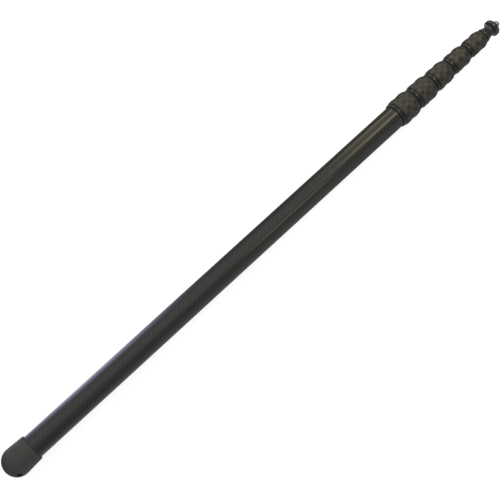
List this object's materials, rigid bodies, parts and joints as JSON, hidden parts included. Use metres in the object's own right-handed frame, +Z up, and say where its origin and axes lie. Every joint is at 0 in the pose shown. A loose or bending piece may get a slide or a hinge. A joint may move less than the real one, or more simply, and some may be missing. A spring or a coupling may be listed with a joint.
{
  "type": "boom pole",
  "caption": "Telescopic microphone boom pole with twist-lock collars, a domed rubber end cap and a threaded stud at its tip.",
  "frame": {"origin": "on the pole's axis at holder_seat, in the middle of the bare length of base tube", "axes": "+X along the pole towards its tip, +Z up"},
  "size_m": [0.9918, 0.0436, 0.0436],
  "materials": {
    "carbon_tube": "dark carbon fibre under a satin clear coat",
    "cap_rubber": "matte moulded rubber",
    "buffer_rubber": "matte rubber",
    "guide_plastic": "natural machined nylon",
    "glide_plastic": "waxy low-friction plastic",
    "ferrule_metal": "black anodised, turned",
    "collet_plastic": "natural machined acetal",
    "nut_plastic": "glossy black moulded",
    "grip_rubber": "chequered moulded rubber",
    "tip_metal": "black anodised, turned",
    "stud_steel": "bare machined thread"
  },
  "bodies": {
    "base": {"base_tube": "carbon_tube", "end_cap": "cap_rubber", "buffer_ring": "buffer_rubber", "front_bush_1": "guide_plastic", "ferrule_1": "ferrule_metal"},
    "guide_2": {"glide_ring_2": "glide_plastic"},
    "section_2": {"tube_2": "carbon_tube", "end_bush_2": "guide_plastic", "front_bush_2": "guide_plastic", "ferrule_2": "ferrule_metal"},
    "guide_3": {"glide_ring_3": "glide_plastic"},
    "section_3": {"tube_3": "carbon_tube", "end_bush_3": "guide_plastic", "front_bush_3": "guide_plastic", "ferrule_3": "ferrule_metal"},
    "guide_4": {"glide_ring_4": "glide_plastic"},
    "section_4": {"tube_4": "carbon_tube", "end_bush_4": "guide_plastic", "front_bush_4": "guide_plastic", "ferrule_4": "ferrule_metal"},
    "guide_5": {"glide_ring_5": "glide_plastic"},
    "section_5": {"tube_5": "carbon_tube", "end_bush_5": "guide_plastic", "front_bush_5": "guide_plastic", "ferrule_5": "ferrule_metal"},
    "guide_6": {"glide_ring_6": "glide_plastic"},
    "section_6": {"tube_6": "carbon_tube", "end_bush_6": "guide_plastic", "tip_fitting": "tip_metal", "tip_stud": "stud_steel"},
    "collet_1": {"collet_1": "collet_plastic"},
    "collar_1": {"nut_1": "nut_plastic", "grip_1": "grip_rubber"},
    "collet_2": {"collet_2": "collet_plastic"},
    "collar_2": {"nut_2": "nut_plastic", "grip_2": "grip_rubber"},
    "collet_3": {"collet_3": "collet_plastic"},
    "collar_3": {"nut_3": "nut_plastic", "grip_3": "grip_rubber"},
    "collet_4": {"collet_4": "collet_plastic"},
    "collar_4": {"nut_4": "nut_plastic", "grip_4": "grip_rubber"},
    "collet_5": {"collet_5": "collet_plastic"},
    "collar_5": {"nut_5": "nut_plastic", "grip_5": "grip_rubber"}
  },
  "joints": [
    {"name": "section_2_slide", "type": "slide", "parent": "base", "child": "guide_2", "axis": [1, 0, 0], "range_m": [0, 0.6933]},
    {"name": "section_2_spin", "type": "hinge", "parent": "guide_2", "child": "section_2", "pos_m": [0, 0, 0], "axis": [1, 0, 0], "continuous": true},
    {"name": "section_3_slide", "type": "slide", "parent": "section_2", "child": "guide_3", "axis": [1, 0, 0], "range_m": [0, 0.6933]},
    {"name": "section_3_spin", "type": "hinge", "parent": "guide_3", "child": "section_3", "pos_m": [0, 0, 0], "axis": [1, 0, 0], "continuous": true},
    {"name": "section_4_slide", "type": "slide", "parent": "section_3", "child": "guide_4", "axis": [1, 0, 0], "range_m": [0, 0.6933]},
    {"name": "section_4_spin", "type": "hinge", "parent": "guide_4", "child": "section_4", "pos_m": [0, 0, 0], "axis": [1, 0, 0], "continuous": true},
    {"name": "section_5_slide", "type": "slide", "parent": "section_4", "child": "guide_5", "axis": [1, 0, 0], "range_m": [0, 0.6933]},
    {"name": "section_5_spin", "type": "hinge", "parent": "guide_5", "child": "section_5", "pos_m": [0, 0, 0], "axis": [1, 0, 0], "continuous": true},
    {"name": "section_6_slide", "type": "slide", "parent": "section_5", "child": "guide_6", "axis": [1, 0, 0], "range_m": [0, 0.6933]},
    {"name": "section_6_spin", "type": "hinge", "parent": "guide_6", "child": "section_6", "pos_m": [0, 0, 0], "axis": [1, 0, 0], "continuous": true},
    {"name": "collet_1_travel", "type": "slide", "parent": "base", "child": "collet_1", "axis": [1, 0, 0], "range_m": [0, 0.0004]},
    {"name": "collar_1_twist", "type": "hinge", "parent": "collet_1", "child": "collar_1", "pos_m": [0, 0, 0], "axis": [1, 0, 0], "range_deg": [0, 90]},
    {"name": "collet_2_travel", "type": "slide", "parent": "section_2", "child": "collet_2", "axis": [1, 0, 0], "range_m": [0, 0.0004]},
    {"name": "collar_2_twist", "type": "hinge", "parent": "collet_2", "child": "collar_2", "pos_m": [0, 0, 0], "axis": [1, 0, 0], "range_deg": [0, 90]},
    {"name": "collet_3_travel", "type": "slide", "parent": "section_3", "child": "collet_3", "axis": [1, 0, 0], "range_m": [0, 0.0004]},
    {"name": "collar_3_twist", "type": "hinge", "parent": "collet_3", "child": "collar_3", "pos_m": [0, 0, 0], "axis": [1, 0, 0], "range_deg": [0, 90]},
    {"name": "collet_4_travel", "type": "slide", "parent": "section_4", "child": "collet_4", "axis": [1, 0, 0], "range_m": [0, 0.0004]},
    {"name": "collar_4_twist", "type": "hinge", "parent": "collet_4", "child": "collar_4", "pos_m": [0, 0, 0], "axis": [1, 0, 0], "range_deg": [0, 90]},
    {"name": "collet_5_travel", "type": "slide", "parent": "section_5", "child": "collet_5", "axis": [1, 0, 0], "range_m": [0, 0.0004]},
    {"name": "collar_5_twist", "type": "hinge", "parent": "collet_5", "child": "collar_5", "pos_m": [0, 0, 0], "axis": [1, 0, 0], "range_deg": [0, 90]}
  ],
  "couplings": [
    {"joint": "collet_1_travel", "follows": "collar_1_twist", "m_per_rad": 0.00023873},
    {"joint": "collet_2_travel", "follows": "collar_2_twist", "m_per_rad": 0.00023873},
    {"joint": "collet_3_travel", "follows": "collar_3_twist", "m_per_rad": 0.00023873},
    {"joint": "collet_4_travel", "follows": "collar_4_twist", "m_per_rad": 0.00023873},
    {"joint": "collet_5_travel", "follows": "collar_5_twist", "m_per_rad": 0.00023873}
  ]
}
